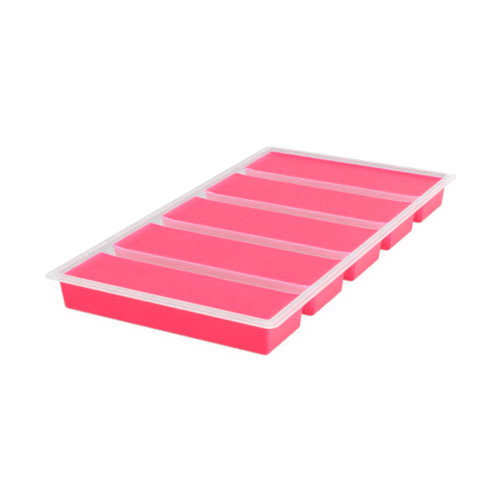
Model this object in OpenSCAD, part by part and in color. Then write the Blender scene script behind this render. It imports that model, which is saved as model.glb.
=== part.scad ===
// Soap loaf mould: a clear formed tray with a row of loaf-shaped cavities, and the bars cast in it.
// The tray stands on the floors of its cups, centred on the origin.
// X runs along the bars, Y runs across them and Z is up. All sizes are in millimetres.

/* [Tray] */
// Outer width of the flange, along the bars
tray_width = 150; // [130:1:180]
// Outer length of the flange, across the bars
tray_length = 276; // [250:1:320]
// Height from the floors of the cups to the crest of the bead
tray_height = 23.4; // [19:0.1:30]
// Thickness of the formed sheet
sheet = 0.6; // [0.4:0.1:0.8]

/* [Rim] */
// Width of the flat flange outside the bead
flange_width = 4; // [3:0.1:4.2]
// Radius of the flange's outer corners
flange_corner_r = 5.4; // [5:0.2:8]
// Height of the bead's crest above the flange
bead_rise = 1.4; // [1:0.1:1.8]
// How far the bead's outer wall leans in between its foot and its crest
bead_lean = 0.6; // [0.2:0.1:0.8]
// How much the plan radius of the rim's corners drops for each millimetre in from the tray's edge
corner_shrink = 0.6; // [0.5:0.05:0.7]
// Distance from the tray's edge to the inner side of the bead's crest
crest_inset = 6.2; // [6:0.1:6.4]
// Radius of the bead's corners, at the inner side of its crest
crest_corner_r = 1.8; // [1.4:0.1:2.4]
// Depth of the deck below the crest
deck_depth = 3.6; // [2.8:0.1:4.5]
// Width of the narrow ledge between the rim's inner wall and the mouths of the cavities
ledge_width = 0.2; // [0.1:0.05:0.25]

/* [Cavities] */
// Number of cavities, and so of bars
bar_count = 5; // [2:1:7]
// Distance from the tray's edge to the mouths of the cavities
mouth_inset = 6.6; // [6.6:0.1:7.5]
// Width of the flat bridge between two mouths
bridge_width = 12.3; // [9:0.1:18]
// How far a cavity's end walls lean in, from its mouth to the level of its floor
end_draft = 1.8; // [1:0.1:4]
// How far a cavity's long walls lean in, from its mouth to the level of its floor
side_draft = 1.2; // [1:0.1:3]
// Radius of the upright corners at the mouth
mouth_corner_r = 1.6; // [1.4:0.1:3]
// Radius of the corners and edges around the floor
floor_r = 2.8; // [2:0.1:4]

/* [Bars] */
// Gap between a bar and the cavity around it
bar_gap = 0.2; // [0.1:0.05:0.3]
// Depth of a bar's top face below the deck
fill_depth = 0.2; // [0.1:0.1:1.5]

/* [Hidden] */
$fn = 24;
// Thickness of the slices that a drafted form is stretched between, and overlap of a cut
slice = 0.1;
// Height of the short upright lip at the mouth of a cavity
lip_height = 0.3;

deck_z = tray_height - deck_depth;
flange_z = tray_height - bead_rise;
fill_z = deck_z - fill_depth;

cavity_length = tray_width - 2 * mouth_inset;
cavity_pitch = (tray_length - 2 * mouth_inset + bridge_width) / bar_count;
cavity_width = cavity_pitch - bridge_width;

bar_names = [for (number = [1:bar_count]) str("soap_bar_", number)];

// Y of the middle of one bar, counted from 1 at the -Y end of the row
function bar_y(number) = (number - (bar_count + 1) / 2) * cavity_pitch;

// Plan radius of the bead's corners at a distance in from the tray's edge
function bead_corner_r(inset) = flange_corner_r - corner_shrink * inset;

// A flat rectangle with round corners, centred on the origin
module round_rectangle(length_x, length_y, corner_r) {
    square([length_x - 2 * corner_r, length_y], center = true);
    square([length_x, length_y - 2 * corner_r], center = true);
    for (side_x = [-1, 1], side_y = [-1, 1])
        translate([side_x * (length_x / 2 - corner_r), side_y * (length_y / 2 - corner_r)])
            circle(corner_r);
}

// A round-cornered plate that lies inside the tray's outline by inset, with its underside at z
module inset_plate(inset, corner_r, z, thickness = slice) {
    translate([0, 0, z])
        linear_extrude(thickness)
            round_rectangle(tray_width - 2 * inset, tray_length - 2 * inset, corner_r);
}

// The solid under the bead's outer face, moved in from that face by skin
module bead_form(skin) {
    foot_inset = flange_width + skin;
    top_inset = foot_inset + bead_lean;
    foot_z = flange_z - sheet - (skin > 0 ? slice : 0);
    hull() {
        inset_plate(foot_inset, bead_corner_r(foot_inset), foot_z);
        inset_plate(foot_inset, bead_corner_r(foot_inset), flange_z - skin);
        inset_plate(top_inset, bead_corner_r(top_inset), tray_height - skin - slice);
    }
}

// The shallow well inside the bead, from the deck to the crest, grown outward by skin
module well_form(skin) {
    grow = ledge_width + skin;
    hull() {
        inset_plate(mouth_inset - grow, mouth_corner_r + grow, deck_z - skin);
        inset_plate(crest_inset - skin, crest_corner_r + skin, tray_height - (skin > 0 ? slice : 0));
    }
}

// One loaf: drafted walls, round upright corners and a round-edged floor, grown outward by skin
module loaf_form(skin) {
    ball_x = cavity_length / 2 - end_draft - floor_r;
    ball_y = cavity_width / 2 - side_draft - floor_r;
    hull() {
        for (side_x = [-1, 1], side_y = [-1, 1])
            translate([side_x * ball_x, side_y * ball_y, sheet + floor_r])
                corner_ball(floor_r + skin);
        translate([0, 0, deck_z - lip_height])
            linear_extrude(lip_height + slice)
                round_rectangle(cavity_length + 2 * skin, cavity_width + 2 * skin, mouth_corner_r + skin);
    }
}

// A ball whose lowest point lies exactly one radius under its centre
module corner_ball(ball_r) {
    rotate_extrude()
        intersection() {
            circle(ball_r);
            translate([0, -ball_r])
                square([ball_r, 2 * ball_r]);
        }
}

// The flange and the hollow bead, from one skin of the sheet to the other
module rim() {
    difference() {
        union() {
            inset_plate(0, flange_corner_r, flange_z - sheet, sheet);
            bead_form(0);
        }
        bead_form(sheet);
    }
}

// The formed sheet: flange, hollow bead, deck with its bridges, and one cup for each bar
module tray() {
    color([0.9, 0.92, 0.93, 0.45])
        difference() {
            union() {
                rim();
                well_form(sheet);
                for (number = [1:bar_count])
                    translate([0, bar_y(number), 0])
                        loaf_form(sheet);
            }
            well_form(0);
            for (number = [1:bar_count])
                translate([0, bar_y(number), 0])
                    loaf_form(0);
        }
}

// One cast bar, level on top, that fills its cavity up to the fill line
module soap_bar(number) {
    color([1, 0.42, 0.56])
        translate([0, bar_y(number), 0])
            intersection() {
                loaf_form(-bar_gap);
                translate([-tray_width / 2, -cavity_pitch / 2, 0])
                    cube([tray_width, cavity_pitch, fill_z]);
            }
}

tray();
for (number = [1:bar_count])
    soap_bar(number);
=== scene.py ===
"""Looks of the soap loaf mould: a clear formed tray and the row of pink bars cast in it.

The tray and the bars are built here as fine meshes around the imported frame, which gives every position.
X runs along the bars, Y across them, Z up. Sizes are in millimetres, and meshes are scaled to metres."""

import math
from collections import namedtuple

import bmesh
import bpy
from mathutils import Matrix, Vector


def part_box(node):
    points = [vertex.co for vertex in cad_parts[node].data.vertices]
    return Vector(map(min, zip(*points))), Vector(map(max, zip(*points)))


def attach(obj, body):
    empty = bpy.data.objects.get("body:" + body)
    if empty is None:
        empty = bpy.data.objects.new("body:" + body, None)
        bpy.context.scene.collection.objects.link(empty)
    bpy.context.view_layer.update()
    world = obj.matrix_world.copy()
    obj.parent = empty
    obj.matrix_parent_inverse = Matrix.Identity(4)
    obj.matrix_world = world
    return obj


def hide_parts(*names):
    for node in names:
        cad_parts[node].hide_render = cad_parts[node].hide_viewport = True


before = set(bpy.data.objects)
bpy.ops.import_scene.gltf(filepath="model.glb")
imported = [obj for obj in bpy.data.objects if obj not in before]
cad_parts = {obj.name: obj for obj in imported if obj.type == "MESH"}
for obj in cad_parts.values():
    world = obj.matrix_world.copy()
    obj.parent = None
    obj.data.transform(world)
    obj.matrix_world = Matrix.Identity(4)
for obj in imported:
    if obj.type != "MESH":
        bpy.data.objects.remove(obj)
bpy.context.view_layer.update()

MM = 0.001
BAR_NODES = sorted(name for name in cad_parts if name.startswith("soap_bar_"))


def box_mm(node):
    """Lowest and highest corner of a CAD node, in millimetres."""
    return [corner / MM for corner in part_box(node)]


# ---------------------------------------------------------------- sizes

TRAY_HIGH = box_mm("tray")[1]
HALF_WIDTH = TRAY_HIGH.x
HALF_LENGTH = TRAY_HIGH.y
CREST_Z = TRAY_HIGH.z

SHEET = 0.6             # thickness of the formed plastic
CUP_SHEET = 0.25        # thickness of the cups, where it has been drawn out thin
BAR_GAP = 0.2           # gap that the frame leaves around a bar
FILL_DEPTH = 0.2        # how far a bar's top lies below the deck
FILL_Z = box_mm(BAR_NODES[0])[1].z
DECK_Z = FILL_Z + FILL_DEPTH

BEAD_RISE = 1.4         # the bead's crest above the flange
FLANGE_Z = CREST_Z - BEAD_RISE
FLANGE_WIDTH = 4.0      # from the cut edge to the foot of the bead
EDGE_BAND = 0.7         # strip of flange beside the cut edge, veiled white as a painted highlight
BEAD_TOP_OUTER = 5.2    # insets of the bead's crest from the cut edge
BEAD_TOP_INNER = 6.35
WELL_FOOT = 6.45        # inset of the rim's inner wall where it meets the deck
FOOT_R = 0.5            # rounding where the flange turns up into the bead
CREST_OUTER_R = 0.7
CREST_INNER_R = 0.5
WALL_ROW_SHARE = 0.08   # share of the inner wall over which the crest's painted highlight dies out
FLANGE_CORNER_R = 5.4   # plan radius of the flange's corners
CORNER_SHRINK = 0.6     # how much that radius drops for each millimetre of inset

RIM_ROUNDING = 0.04     # rounding of a mouth beside the rim, where a narrow ledge is left
BRIDGE_ROUNDING = 0.7   # rounding of the long edges of a bridge
DECK_BORDER = 1.8       # multiple of that rounding over which the sheet carries a painted highlight
BORDER_FADE = 0.2       # further multiple over which that painted highlight dies out
BRIDGE_PAINTED_HIGHLIGHT = 0.3       # strength of the painted highlight veil there, where on the bead it is 1
FLANGE_PAINTED_HIGHLIGHT = 0.38      # the same for the flange
MOUTH_CORNER_R = 1.6    # plan radius of a cavity's corners at its mouth
END_DRAFT = 1.3         # how far an end wall leans in, down to the level of the floor
SIDE_DRAFT = 0.8        # the same for a long wall
FLOOR_R = 2.8           # rounding between the walls and the floor
FLOOR_CORNER_R = 0.3    # plan radius of the flat floor's corners
FLOOR_CENTRE_Z = CUP_SHEET + FLOOR_R
WALL_ANGLE = math.radians(4)  # where the floor's rounding meets the wall

BAR_SKIN_GAP = 0.08     # gap drawn between a bar and the tray
MENISCUS_WIDTH = 3.2    # width of the curved border of a bar's top
MENISCUS_DIP = 0.25     # how far the middle of the top lies below the fill line
RIM_CLIMB = 1.0         # how far the soap climbs above the fill line where it meets the rim
CLIMB_RUN = 7.0         # length over which it starts to climb, along a side
LEAST_CORNER_R = 0.3    # least plan radius of a loop's corners

# ---------------------------------------------------------------- mesh settings

CORNER_STEPS = 10       # steps around each corner of an outline
SIDE_STEPS = 16         # steps along each of its sides
FILLET_STEPS = 6        # steps around each rounded corner of the rim's path
LIP_STEPS = 5           # steps down a cavity's skin: around its mouth, down its walls and around its floor
WALL_STEPS = 4
FLOOR_STEPS = 8
TOP_STEPS = 7           # steps across the curved border of a bar's top
TOP_CROWDING = 0.6      # power below 1 that crowds the loops of a bar's top toward its edge
SHARP_FOLD = math.radians(40)
FACING_LIMIT = 0.7      # a face looks along an axis where its normal has more than this along it

# The order of the tray's material slots. The lower skin takes the slot two places after the upper skin's.
CLEAR_SLOT, CUP_SLOT, LOWER_SKIN_SLOTS, CUT_EDGE_SLOT = 0, 1, 2, 4

# The order of a bar's material slots.
TOP_SLOT, SIDE_SLOT, GAP_SLOT = 0, 1, 2

WEIGHTED_NORMALS = ("WEIGHTED_NORMAL", {"keep_sharp": True})

# ---------------------------------------------------------------- mesh helpers


def round_outline(x_low, x_high, y_low, y_high, radius):
    """Points of a round-cornered rectangle, anticlockwise, the same number whatever its size."""
    corners = [(x_high, y_low), (x_high, y_high), (x_low, y_high), (x_low, y_low)]
    points = []
    for turn, (x, y) in enumerate(corners):
        centre_x = x - math.copysign(radius, x - (x_low + x_high) / 2)
        centre_y = y - math.copysign(radius, y - (y_low + y_high) / 2)
        for step in range(CORNER_STEPS + 1):
            angle = math.pi / 2 * (turn - 1 + step / CORNER_STEPS)
            points.append(Vector((centre_x + radius * math.cos(angle), centre_y + radius * math.sin(angle))))
    return with_side_points(points)


def with_side_points(arcs):
    """The same outline with points spaced along its four straight sides."""
    points = []
    count = CORNER_STEPS + 1
    for corner in range(4):
        arc = arcs[corner * count:(corner + 1) * count]
        following = arcs[(corner + 1) * count % len(arcs)]
        points += arc
        points += [arc[-1].lerp(following, step / SIDE_STEPS) for step in range(1, SIDE_STEPS)]
    return points


def fillet_path(corners):
    """Points along a path of (across, height, radius) corners. Each corner but the two ends is an arc."""
    points = [Vector(corners[0][:2])]
    for before, corner, after in zip(corners, corners[1:], corners[2:]):
        here = Vector(corner[:2])
        radius = corner[2]
        to_before = (Vector(before[:2]) - here).normalized()
        to_after = (Vector(after[:2]) - here).normalized()
        half_angle = to_before.angle(to_after) / 2
        centre = here + (to_before + to_after).normalized() * radius / math.sin(half_angle)
        setback = radius / math.tan(half_angle)
        start = here + to_before * setback - centre
        end = here + to_after * setback - centre
        for step in range(FILLET_STEPS + 1):
            points.append(centre + start.slerp(end, step / FILLET_STEPS) * radius)
    points.append(Vector(corners[-1][:2]))
    return points


def level(outline, height):
    """The points of a flat outline, lifted to a height."""
    return [Vector((point.x, point.y, height)) for point in outline]


def add_loop(mesh, points, painted_highlight=0.0, fullness=0.0):
    """A closed loop of vertices.

    The highlight weight says how strongly the sheet is veiled white there as a painted highlight, from 0 to
    1, and fullness how much of its thickness it keeps, from 0 where it is drawn out thin to 1 where it is
    left flat."""
    painted_highlights = mesh.verts.layers.float.get("painted_highlight") or mesh.verts.layers.float.new("painted_highlight")
    weights = mesh.verts.layers.deform.verify()
    loop = [mesh.verts.new(point) for point in points]
    for vertex in loop:
        vertex[painted_highlights] = painted_highlight
        vertex[weights][0] = fullness
    return loop


def join_loops(mesh, loops):
    """Bands of faces from each loop to the next."""
    for first, second in zip(loops, loops[1:]):
        count = len(first)
        for i in range(count):
            following = (i + 1) % count
            mesh.faces.new((first[i], first[following], second[following], second[i]))


def loop_edges(mesh, loop):
    """The edges around a loop, made where they are missing."""
    pairs = zip(loop, loop[1:] + loop[:1])
    return [mesh.edges.get(pair) or mesh.edges.new(pair) for pair in pairs]


def finished_object(name, mesh, modifiers):
    """Turns a bmesh in millimetres into an object in metres, smooth but for its folds, modifiers applied."""
    for face in mesh.faces:
        face.smooth = True
    bmesh.ops.scale(mesh, vec=(MM, MM, MM), verts=mesh.verts)
    for edge in mesh.edges:
        edge.smooth = not edge.is_manifold or edge.calc_face_angle() < SHARP_FOLD
    data = bpy.data.meshes.new(name)
    mesh.to_mesh(data)
    mesh.free()
    made = bpy.data.objects.new(name, data)
    made.vertex_groups.new(name="fullness")
    bpy.context.scene.collection.objects.link(made)
    for kind, settings in modifiers:
        modifier = made.modifiers.new(kind.lower(), kind)
        for key, value in settings.items():
            setattr(modifier, key, value)
    graph = bpy.context.evaluated_depsgraph_get()
    made.data = bpy.data.meshes.new_from_object(made.evaluated_get(graph), depsgraph=graph)
    made.modifiers.clear()
    made.vertex_groups.clear()
    return made


# ---------------------------------------------------------------- cavities

# One level of a cavity's skin. flare is the multiple of the mouth's edge rounding by which the skin is
# spread outward, lean the share of the walls' draft, and inward how far the gap and the floor's rounding
# take it in.
Row = namedtuple("Row", "flare lean inward height corner_r")


def cavity_profile(gap):
    """The levels of a cavity's skin from its mouth to its floor, moved in from the cavity by gap."""
    mouth_r = MOUTH_CORNER_R - gap
    rows = [Row(flare, 0.0, gap, DECK_Z, mouth_r) for flare in (DECK_BORDER + BORDER_FADE, DECK_BORDER)]
    for step in range(LIP_STEPS + 1):
        angle = math.pi / 2 * step / LIP_STEPS
        drop = BRIDGE_ROUNDING * (1 - math.cos(angle))
        rows.append(Row(1 - math.sin(angle), 0.0, gap, DECK_Z - drop, mouth_r))
    floor_r = FLOOR_R - gap
    spring_r = FLOOR_CORNER_R + floor_r * math.cos(WALL_ANGLE)
    spring_inward = FLOOR_R - floor_r * math.cos(WALL_ANGLE)
    wall_top = DECK_Z - BRIDGE_ROUNDING
    wall_foot = FLOOR_CENTRE_Z - floor_r * math.sin(WALL_ANGLE)
    for step in range(1, WALL_STEPS):
        share = step / WALL_STEPS
        inward = gap + (spring_inward - gap) * share
        height = wall_top + (wall_foot - wall_top) * share
        rows.append(Row(0.0, share, inward, height, mouth_r + (spring_r - mouth_r) * share))
    for step in range(FLOOR_STEPS + 1):
        angle = WALL_ANGLE + (math.pi / 2 - WALL_ANGLE) * step / FLOOR_STEPS
        reach = floor_r * math.cos(angle)
        height = FLOOR_CENTRE_Z - floor_r * math.sin(angle)
        rows.append(Row(0.0, 1.0, FLOOR_R - reach, height, FLOOR_CORNER_R + reach))
    return rows


class Cavity:
    """One cavity of the tray: the middle of its mouth, and how its two long edges are rounded."""

    def __init__(self, node):
        low, high = box_mm(node)
        self.middle_y = (low.y + high.y) / 2
        self.half_x = high.x + BAR_GAP
        self.half_y = (high.y - low.y) / 2 + BAR_GAP
        self.low_rounding = RIM_ROUNDING if node == BAR_NODES[0] else BRIDGE_ROUNDING
        self.high_rounding = RIM_ROUNDING if node == BAR_NODES[-1] else BRIDGE_ROUNDING

    def outline(self, row, further_in=0.0):
        """The cavity's outline at one level of its profile, or that outline moved further in."""
        inward = row.inward + further_in
        reach_x = self.half_x + RIM_ROUNDING * row.flare - END_DRAFT * row.lean - inward
        reach_y = self.half_y - SIDE_DRAFT * row.lean - inward
        y_low = self.middle_y - reach_y - self.low_rounding * row.flare
        y_high = self.middle_y + reach_y + self.high_rounding * row.flare
        corner_r = max(row.corner_r - further_in, LEAST_CORNER_R)
        return round_outline(-reach_x, reach_x, y_low, y_high, corner_r)


# ---------------------------------------------------------------- tray

def rim_path():
    """(inset, height) of the flange, the bead and the rim's inner wall, from the cut edge in to the deck."""
    path = fillet_path([
        (0, FLANGE_Z),
        (FLANGE_WIDTH, FLANGE_Z, FOOT_R),
        (BEAD_TOP_OUTER, CREST_Z, CREST_OUTER_R),
        (BEAD_TOP_INNER, CREST_Z, CREST_INNER_R),
        (WELL_FOOT, DECK_Z),
    ])
    flange_insets = (EDGE_BAND, 2 * EDGE_BAND, FLANGE_WIDTH - 2 * FOOT_R)
    flange_rows = [Vector((inset, FLANGE_Z)) for inset in flange_insets]
    wall_row = path[-2].lerp(path[-1], WALL_ROW_SHARE)
    return path[:1] + flange_rows + path[1:-1] + [wall_row] + path[-1:]


def rim_painted_highlight(inset, height):
    """How strongly the rim is veiled white as a painted highlight: fully at the cut edge and on the bead,
    partly on the flange, not at all on the inner wall.
    """
    if EDGE_BAND < inset < FLANGE_WIDTH - FOOT_R / 2:
        return FLANGE_PAINTED_HIGHLIGHT
    on_inner_wall = inset > BEAD_TOP_INNER and height < CREST_Z - CREST_INNER_R
    return 0.0 if on_inner_wall else 1.0


def rim_loops(mesh):
    """The rim's upper skin. Gives back the loop where it meets the deck."""
    loops = []
    for inset, height in rim_path():
        reach_x = HALF_WIDTH - inset
        reach_y = HALF_LENGTH - inset
        corner_r = FLANGE_CORNER_R - CORNER_SHRINK * inset
        outline = round_outline(-reach_x, reach_x, -reach_y, reach_y, corner_r)
        loops.append(add_loop(mesh, level(outline, height), rim_painted_highlight(inset, height), fullness=1.0))
    join_loops(mesh, loops)
    return loops[-1]


def cup_loops(mesh, cavity):
    """One cup of the tray, from its mouth to its floor. Gives back the loop at its mouth."""
    loops = []
    for row in cavity_profile(gap=0.0):
        # The rounded edges of the bridges carry a painted highlight, a white veil in the sheet's material.
        painted_highlight = BRIDGE_PAINTED_HIGHLIGHT if 0.0 < row.flare <= DECK_BORDER else 0.0
        points = level(cavity.outline(row), row.height)
        loops.append(add_loop(mesh, points, painted_highlight, fullness=min(row.flare, 1.0)))
    join_loops(mesh, loops)
    mesh.faces.new(loops[-1])
    return loops[0]


def fill_deck(mesh, well_loop, mouths):
    """The flat deck between the rim and the mouths, which leaves the bridges."""
    edges = [edge for loop in [well_loop, *mouths] for edge in loop_edges(mesh, loop)]
    made = bmesh.ops.triangle_fill(mesh, use_beauty=True, edges=edges, normal=(0, 0, 1))
    for face in made["geom"]:
        if isinstance(face, bmesh.types.BMFace) and face.normal.z < 0:
            face.normal_flip()


def build_tray(cavities):
    """The whole formed sheet, as an upper skin that is thickened downward."""
    mesh = bmesh.new()
    well_loop = rim_loops(mesh)
    mouths = [cup_loops(mesh, cavity) for cavity in cavities]
    fill_deck(mesh, well_loop, mouths)
    cup_top = DECK_Z - BRIDGE_ROUNDING
    for face in mesh.faces:
        face.material_index = CUP_SLOT if face.calc_center_median().z < cup_top else CLEAR_SLOT
    thicken = {
        "thickness": SHEET * MM,
        "offset": -1,
        "use_even_offset": True,
        "vertex_group": "fullness",
        "thickness_vertex_group": CUP_SHEET / SHEET,
        "material_offset": LOWER_SKIN_SLOTS,
        "material_offset_rim": CUT_EDGE_SLOT,
    }
    return finished_object("formed_tray", mesh, [("SOLIDIFY", thicken), WEIGHTED_NORMALS])


# ---------------------------------------------------------------- soap bars

def smoothstep(value):
    """Rises smoothly from 0 to 1 as the value goes from 0 to 1."""
    held = min(max(value, 0.0), 1.0)
    return held * held * (3 - 2 * held)


def rim_nearness(point, cavity):
    """1 where a bar's edge runs beside the rim, falling smoothly to 0 along the bridges."""
    reach_x = abs(point.x) - (cavity.half_x - CLIMB_RUN)
    reach_y = abs(point.y) - (HALF_LENGTH - WELL_FOOT - CLIMB_RUN)
    return smoothstep(max(reach_x, reach_y) / CLIMB_RUN)


def top_height(point, share, cavity):
    """Height of a bar's top, which rises from its dished middle (share 0) to its edge (share 1)."""
    climb = RIM_CLIMB * rim_nearness(point, cavity)
    return FILL_Z - MENISCUS_DIP + share ** 2 * (MENISCUS_DIP + climb)


def bar_top(mesh, cavity, edge_row):
    """Loops of a bar's top, from its flat middle out to the edge, at the top row of the bar's sides."""
    loops = []
    for step in range(TOP_STEPS + 1):
        share = (step / TOP_STEPS) ** TOP_CROWDING
        outline = cavity.outline(edge_row, further_in=MENISCUS_WIDTH * (1 - share))
        points = [Vector((point.x, point.y, top_height(point, share, cavity))) for point in outline]
        loops.append(add_loop(mesh, points))
    return loops


def bar_slot(face, cavity):
    """The slot of a bar's face: its top, a side that faces another bar under a bridge, or any other side."""
    if face.normal.z > FACING_LIMIT:
        return TOP_SLOT
    rounding = cavity.low_rounding if face.normal.y < 0 else cavity.high_rounding
    faces_gap = abs(face.normal.y) > FACING_LIMIT and rounding == BRIDGE_ROUNDING
    return GAP_SLOT if faces_gap else SIDE_SLOT


def build_bar(name, cavity):
    """One cast bar: it fills its cavity up to the fill line, and its top is slightly dished."""
    rows = [row for row in cavity_profile(gap=BAR_SKIN_GAP) if row.height < FILL_Z]
    mesh = bmesh.new()
    loops = bar_top(mesh, cavity, rows[0])
    loops += [add_loop(mesh, level(cavity.outline(row), row.height)) for row in rows]
    join_loops(mesh, loops)
    mesh.faces.new(loops[0])
    mesh.faces.new(reversed(loops[-1]))
    bmesh.ops.recalc_face_normals(mesh, faces=mesh.faces)
    for face in mesh.faces:
        face.material_index = bar_slot(face, cavity)
    return finished_object(name, mesh, [WEIGHTED_NORMALS])


# ---------------------------------------------------------------- material settings

# Scales count the features in a metre, and heights and reaches are in metres.

WHITE = (1, 1, 1, 1)
CLEAR_TINT = (0.985, 0.988, 0.987, 1)
VEIL_COLOUR = (0.71, 0.745, 0.755, 1)
SHEET_HAZE = 0.125          # share of the flat sheet's skin that is veiled
PAINTED_HIGHLIGHT_VEIL = 0.61            # how much more of it is veiled white as a painted highlight, where the sheet is marked fully for one
VEIL_BACK_LIT = 0.5         # share of the veil's light that comes through it from behind
HEAD_ON_MIRROR = 0.04       # what such plastic mirrors of light that meets it head on
GLANCING_POWER = 5.0        # how steeply that rises to a full mirror at a glancing view
WAVE_SCALE = 30.0           # slow waves left in the sheet by forming
WAVE_STRENGTH = 0.06
WAVE_HEIGHT = 0.0006
SHEEN_SCALE = 160.0         # patches of slightly different gloss
SHEEN_ROUGHNESS = (0.05, 0.11)
CLOUD_SCALE = 25.0          # patches of slightly different haze
CLOUD_SPREAD = 0.1

FROST_DULL = (0.76, 0.79, 0.79, 1)
FROST_BRIGHT = (0.88, 0.9, 0.9, 1)
FROST_ROUGHNESS = (0.3, 0.5)
FROST_COVER = 0.95          # share of the cut edge that is frost, the rest being clear
SAW_SCALE = 900.0           # fine tooth marks along the cut edge
SAW_STRENGTH = 0.4
SAW_HEIGHT = 0.0002

DEEP_TOP = (0.97, 0.023, 0.112, 1)
# Painted shade: the sides' red is the top's red painted a little darker, with less green and blue.
DEEP_SIDE_PAINTED_SHADE = (0.97, 0.008, 0.1, 1)
# Painted light: the paler pink the soap is painted toward near its edges, as glow where light crosses less
# of it.
PAINTED_GLOW_PINK = (1.0, 0.13, 0.255, 1)
# Painted light: the paler pink painted on the walls between bars, as glow where light reaches them through
# the soap.
PAINTED_GAP_GLOW_PINK = (1.0, 0.2, 0.48, 1)
DEEP_GLOW = (1.0, 0.2, 0.35)     # how far red, green and blue light wander in the soap, beside one another
PALE_GLOW = (1.0, 0.62, 0.78)
GLOW_REACH = 0.012          # how far that is for red
SOAP_IOR = 1.46
DYE_SCALE = 38.0            # clouds of slightly paler dye
DYE_SPREAD = (-0.06, 0.08)
RIPPLE_SCALE = 70.0         # shallow unevenness of the set soap
RIPPLE_STRENGTH = 0.3
SATIN_SCALE = 210.0         # patches of slightly different satin
SATIN_SPREAD = 0.06

NOISE_LOW, NOISE_HIGH = 0.3, 0.7    # the range that most of a noise pattern lies in

# ---------------------------------------------------------------- materials


class Shader:
    """A material's node tree, with short calls to add nodes and links."""

    def __init__(self, name):
        self.material = bpy.data.materials.new(name)
        self.material.use_nodes = True
        self.tree = self.material.node_tree
        self.tree.nodes.clear()
        self.output = self.tree.nodes.new("ShaderNodeOutputMaterial")

    def node(self, kind, settings=None, **inputs):
        """Adds a node. An input's value is a number, a colour or another node's output."""
        made = self.tree.nodes.new("ShaderNode" + kind)
        for key, value in (settings or {}).items():
            setattr(made, key, value)
        for key, value in inputs.items():
            self.feed(made.inputs[self.socket(key)], value)
        return made

    @staticmethod
    def socket(key):
        """A socket's index for a key such as in1, or its name for a key such as Base_Color."""
        return int(key[2:]) if key[:2] == "in" and key[2:].isdigit() else key.replace("_", " ")

    def feed(self, socket, value):
        """Links another node's output to a socket, or sets the socket's own value."""
        if isinstance(value, bpy.types.NodeSocket):
            self.tree.links.new(value, socket)
        else:
            socket.default_value = value

    def maths(self, operation, *values):
        inputs = {f"in{index}": value for index, value in enumerate(values)}
        return self.node("Math", {"operation": operation}, **inputs).outputs[0]

    def noise(self, scale, detail=3.0):
        place = self.node("TexCoord").outputs["Object"]
        return self.node("TexNoise", Vector=place, Scale=scale, Detail=detail).outputs["Fac"]

    def ranged(self, value, low, high, to_low, to_high, smooth=False):
        """Spreads the range from low to high over the range from to_low to to_high, and holds it there."""
        kind = {"interpolation_type": "SMOOTHSTEP" if smooth else "LINEAR"}
        return self.node("MapRange", kind, in0=value, in1=low, in2=high, in3=to_low, in4=to_high).outputs[0]

    def patches(self, scale, low, high, detail=3.0):
        """A soft pattern of patches whose values lie between low and high."""
        return self.ranged(self.noise(scale, detail), NOISE_LOW, NOISE_HIGH, low, high)

    def bumps(self, height, strength, distance):
        return self.node("Bump", Strength=strength, Distance=distance, Height=height).outputs[0]

    def blend(self, share, first, second):
        return self.node("MixShader", in0=share, in1=first, in2=second).outputs[0]

    def blend_colour(self, share, first, second):
        made = self.node("Mix", {"data_type": "RGBA"}, in0=share, in6=first, in7=second)
        return made.outputs[2]

    def finish(self, surface):
        self.tree.links.new(surface, self.output.inputs["Surface"])
        return self.material


def sheet_material(name, haze, painted_highlight_veil, mirror):
    """Clear formed plastic: it mirrors more at a glancing view, and a white veil is painted on as a
    highlight on the bead, the flange and the bridges' edges.

    haze is the share of the flat skin that is veiled, the next share how much more is veiled as a painted
    highlight where the sheet is marked fully for one, and mirror the strength of its reflections."""
    shader = Shader(name)
    normal = shader.bumps(shader.noise(WAVE_SCALE, detail=1.0), WAVE_STRENGTH, WAVE_HEIGHT)
    facing = shader.node("LayerWeight", Blend=0.5, Normal=normal).outputs["Facing"]
    glancing = shader.maths("POWER", facing, GLANCING_POWER)
    head_on = HEAD_ON_MIRROR * mirror
    mirrored = shader.maths("MULTIPLY_ADD", glancing, mirror - head_on, head_on)
    clear = shader.node("BsdfTransparent", Color=CLEAR_TINT).outputs[0]
    roughness = shader.patches(SHEEN_SCALE, *SHEEN_ROUGHNESS)
    gloss = shader.node("BsdfGlossy", Color=WHITE, Roughness=roughness, Normal=normal).outputs[0]
    sheet = shader.blend(mirrored, clear, gloss)
    lit = shader.node("BsdfDiffuse", Color=VEIL_COLOUR).outputs[0]
    back_lit = shader.node("BsdfTranslucent", Color=VEIL_COLOUR).outputs[0]
    veil = shader.blend(VEIL_BACK_LIT, lit, back_lit)
    # Painted highlight: the mesh's highlight weight adds a white veil on the bead, the flange and the
    # bridges' edges.
    painted_highlight = shader.node("Attribute", {"attribute_name": "painted_highlight"}).outputs["Fac"]
    cloud = shader.patches(CLOUD_SCALE, haze * (1 - CLOUD_SPREAD), haze * (1 + CLOUD_SPREAD))
    share = shader.maths("MULTIPLY_ADD", painted_highlight, painted_highlight_veil, cloud)
    return shader.finish(shader.blend(share, sheet, veil))


def cut_edge_material():
    """The sheared edge of the sheet: frosted and bright."""
    shader = Shader("cut_edge")
    saw = shader.noise(SAW_SCALE, detail=4.0)
    normal = shader.bumps(saw, SAW_STRENGTH, SAW_HEIGHT)
    clear = shader.node("BsdfTransparent", Color=CLEAR_TINT).outputs[0]
    colour = shader.blend_colour(saw, FROST_DULL, FROST_BRIGHT)
    roughness = shader.ranged(saw, NOISE_LOW, NOISE_HIGH, *FROST_ROUGHNESS)
    frost = shader.node("BsdfPrincipled", Base_Color=colour, Roughness=roughness, Normal=normal).outputs[0]
    return shader.finish(shader.blend(FROST_COVER, clear, frost))


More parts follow.
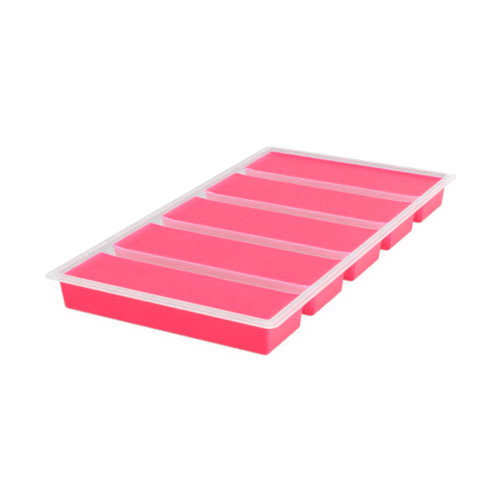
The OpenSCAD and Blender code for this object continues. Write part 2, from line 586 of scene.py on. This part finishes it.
def distance_in(shader, place, axis):
    """How far a place lies in from a bar's edge along an axis, as a share of the bar's size.

    It counts from the nearer side along X and Y, and from the top only along Z."""
    along = place.outputs[axis]
    if axis == "Z":
        return shader.maths("SUBTRACT", 1.0, along)
    from_middle = shader.maths("ABSOLUTE", shader.maths("SUBTRACT", along, 0.5))
    return shader.maths("SUBTRACT", 0.5, from_middle)


def soap_material(name, deep, painted_glow_colour, roughness, ripple_height, paling, glow=DEEP_GLOW):
    """Dyed translucent soap, with light painted into its colour: it is painted paler near its edges, as a
    glow where light crosses less of it.

    The edge mapping gives, for an axis, how much the painted glow lightens the soap at that edge, and over
    what share of the bar's size it deepens again."""
    shader = Shader(name)
    generated = shader.node("TexCoord").outputs["Generated"]
    place = shader.node("SeparateXYZ", Vector=generated)
    share = shader.patches(DYE_SCALE, *DYE_SPREAD, detail=4.0)
    # Painted light: the colour is made paler toward the given edges, as glow; the dye clouds under it are
    # the soap's own tone.
    for axis, (amount, run) in paling.items():
        painted_glow_share = shader.ranged(distance_in(shader, place, axis), 0.0, run, amount, 0.0, smooth=True)
        share = shader.maths("MAXIMUM", share, painted_glow_share)
    colour = shader.blend_colour(share, deep, painted_glow_colour)
    normal = shader.bumps(shader.noise(RIPPLE_SCALE, detail=5.0), RIPPLE_STRENGTH, ripple_height)
    satin = shader.patches(SATIN_SCALE, roughness - SATIN_SPREAD, roughness + SATIN_SPREAD)
    soap = shader.node(
        "BsdfPrincipled", Base_Color=colour, Roughness=satin, IOR=SOAP_IOR, Normal=normal,
        Subsurface_Weight=1.0, Subsurface_Radius=glow, Subsurface_Scale=GLOW_REACH)
    return shader.finish(soap.outputs[0])


# ---------------------------------------------------------------- build

cavities = [Cavity(node) for node in BAR_NODES]

tray = build_tray(cavities)
tray_materials = {
    CLEAR_SLOT: sheet_material("clear_sheet", SHEET_HAZE, PAINTED_HIGHLIGHT_VEIL, mirror=0.8),
    CUP_SLOT: sheet_material("cup_inside", haze=0.01, painted_highlight_veil=0.0, mirror=0.1),
    CLEAR_SLOT + LOWER_SKIN_SLOTS: sheet_material("clear_sheet_under", SHEET_HAZE, PAINTED_HIGHLIGHT_VEIL, mirror=0.2),
    CUP_SLOT + LOWER_SKIN_SLOTS: sheet_material("cup_outside", haze=0.02, painted_highlight_veil=0.0, mirror=0.7),
    CUT_EDGE_SLOT: cut_edge_material(),
}
for slot in sorted(tray_materials):
    tray.data.materials.append(tray_materials[slot])
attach(tray, "tray")
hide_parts("tray")

# Each soap is painted paler toward its edges, as glow of light that crosses less soap there.
bar_materials = {
    TOP_SLOT: soap_material(
        "soap_top", DEEP_TOP, PAINTED_GLOW_PINK, roughness=0.42, ripple_height=0.0004,
        paling={"X": (0.5, 0.06), "Y": (0.25, 0.1)}),
    # The sides are painted a darker red than the tops, as shade.
    SIDE_SLOT: soap_material(
        "soap_side", DEEP_SIDE_PAINTED_SHADE, PAINTED_GLOW_PINK, roughness=0.5, ripple_height=0.0002,
        paling={"X": (0.7, 0.02), "Z": (0.3, 0.35)}),
    # The walls between bars are painted paler pink, most at their tops, as glow of light in the gaps.
    GAP_SLOT: soap_material(
        "soap_between_painted_glow", DEEP_SIDE_PAINTED_SHADE, PAINTED_GAP_GLOW_PINK, roughness=0.5, ripple_height=0.0002,
        paling={"Z": (0.9, 1.0)}, glow=PALE_GLOW),
}
for node, cavity in zip(BAR_NODES, cavities):
    bar = build_bar("cast_" + node, cavity)
    for slot in sorted(bar_materials):
        bar.data.materials.append(bar_materials[slot])
    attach(bar, node)
    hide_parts(node)

# ---------------------------------------------------------------- stage

# The stage is in metres.

FLOOR_DROP = 0.0002         # how far the floor lies below the cups, so that the two never coincide
FLOOR_RADIUS = 12.0
FLOOR_SEGMENTS = 96
PAPER_COLOUR = (0.95, 0.95, 0.95, 1)
PAPER_GLOW = 0.93           # share of the paper's own shading that its white glow hides
PAPER_THROUGH_TRAY = 0.6    # brightness of white paper seen through plastic


def floor_material():
    """Pale paper, lit so brightly that it shows white, but greyer where it is seen through the tray."""
    shader = Shader("pale_paper")
    path = shader.node("LightPath")
    seen = shader.maths("MAXIMUM", path.outputs["Is Camera Ray"], path.outputs["Is Glossy Ray"])
    unobstructed = shader.maths("LESS_THAN", path.outputs["Transparent Depth"], 0.5)
    open_view = shader.maths("MULTIPLY", path.outputs["Is Camera Ray"], unobstructed)
    direct = shader.maths("MAXIMUM", open_view, path.outputs["Is Glossy Ray"])
    paper = shader.node("BsdfDiffuse", Color=PAPER_COLOUR).outputs[0]
    strength = shader.maths("MULTIPLY_ADD", direct, 1 - PAPER_THROUGH_TRAY, PAPER_THROUGH_TRAY)
    glow = shader.node("Emission", Color=WHITE, Strength=strength).outputs[0]
    lit = shader.blend(shader.maths("MULTIPLY", seen, PAPER_GLOW), paper, glow)
    under = shader.node("BsdfTransparent").outputs[0]
    backfacing = shader.node("NewGeometry").outputs["Backfacing"]
    return shader.finish(shader.blend(backfacing, lit, under))


def build_floor():
    mesh = bmesh.new()
    bmesh.ops.create_circle(mesh, cap_ends=True, segments=FLOOR_SEGMENTS, radius=FLOOR_RADIUS)
    bmesh.ops.translate(mesh, vec=(0, 0, -FLOOR_DROP), verts=mesh.verts)
    data = bpy.data.meshes.new("floor")
    mesh.to_mesh(data)
    mesh.free()
    data.materials.append(floor_material())
    floor = bpy.data.objects.new("floor", data)
    bpy.context.scene.collection.objects.link(floor)


BRIGHT_SIDE = Vector((0.55, -0.45, 0.70)).normalized()   # to the right, in front and overhead
STUDIO_DIM, STUDIO_BRIGHT = 0.7, 1.65


def build_world():
    """A white studio, brightest to the right, in front and overhead, and plain white to the camera."""
    world = bpy.data.worlds.new("studio")
    bpy.context.scene.world = world
    world.use_nodes = True
    nodes, links = world.node_tree.nodes, world.node_tree.links
    nodes.clear()
    place = nodes.new("ShaderNodeTexCoord")
    towards = nodes.new("ShaderNodeVectorMath")
    towards.operation = "DOT_PRODUCT"
    towards.inputs[1].default_value = BRIGHT_SIDE
    links.new(place.outputs["Generated"], towards.inputs[0])
    strength = nodes.new("ShaderNodeMapRange")
    links.new(towards.outputs["Value"], strength.inputs[0])
    for index, value in enumerate((-1.0, 1.0, STUDIO_DIM, STUDIO_BRIGHT), start=1):
        strength.inputs[index].default_value = value
    around = nodes.new("ShaderNodeBackground")
    links.new(strength.outputs[0], around.inputs["Strength"])
    seen = nodes.new("ShaderNodeBackground")
    seen.inputs["Color"].default_value = WHITE
    path = nodes.new("ShaderNodeLightPath")
    mix = nodes.new("ShaderNodeMixShader")
    links.new(path.outputs["Is Camera Ray"], mix.inputs[0])
    links.new(around.outputs[0], mix.inputs[1])
    links.new(seen.outputs[0], mix.inputs[2])
    output = nodes.new("ShaderNodeOutputWorld")
    links.new(mix.outputs[0], output.inputs[0])


SOFTBOX_SIZE = 0.9
SOFTBOX_DISTANCE = 1.2


def away_from_tray(azimuth, elevation):
    """A direction in radians from the tray. Azimuth 0 is at the front and a quarter turn is at the right."""
    across = math.cos(elevation)
    return Vector((math.sin(azimuth) * across, -math.cos(azimuth) * across, math.sin(elevation)))


def add_softbox(name, azimuth, elevation, power):
    """A square area light that looks at the tray, placed by its angles in degrees."""
    light = bpy.data.lights.new(name, "AREA")
    light.shape = "SQUARE"
    light.size = SOFTBOX_SIZE
    light.energy = power
    lamp = bpy.data.objects.new(name, light)
    away = away_from_tray(math.radians(azimuth), math.radians(elevation))
    lamp.location = away * SOFTBOX_DISTANCE
    lamp.rotation_mode = "QUATERNION"
    lamp.rotation_quaternion = away.to_track_quat("Z", "Y")
    lamp.visible_camera = False
    bpy.context.scene.collection.objects.link(lamp)


CAMERA_AZIMUTH = math.radians(29.0)
CAMERA_ELEVATION = math.radians(22.31)
CAMERA_ROLL = math.radians(-0.707)
CAMERA_DISTANCE = 0.8130
CAMERA_TARGET = Vector((-0.01398, -0.00184, 0.0))
CAMERA_LENS = 91.05
CAMERA_SENSOR = 36.0
CAMERA_NEAR = 0.01


def build_camera():
    data = bpy.data.cameras.new("camera")
    data.lens = CAMERA_LENS
    data.sensor_width = CAMERA_SENSOR
    data.clip_start = CAMERA_NEAR
    camera = bpy.data.objects.new("camera", data)
    back = away_from_tray(CAMERA_AZIMUTH, CAMERA_ELEVATION)
    right = Vector((0, 0, 1)).cross(back).normalized()
    upright = Matrix((right, back.cross(right), back)).transposed()
    camera.matrix_world = Matrix.LocRotScale(
        CAMERA_TARGET + back * CAMERA_DISTANCE, upright @ Matrix.Rotation(CAMERA_ROLL, 3, "Z"), None)
    bpy.context.scene.collection.objects.link(camera)
    bpy.context.scene.camera = camera


build_floor()
build_world()
add_softbox("top_softbox", azimuth=40, elevation=75, power=6)
add_softbox("back_softbox", azimuth=175, elevation=38, power=2)
build_camera()

scene = bpy.context.scene
scene.view_settings.view_transform = "Standard"
scene.cycles.transparent_max_bounces = 32
scene.cycles.max_bounces = 24
scene.cycles.diffuse_bounces = 12
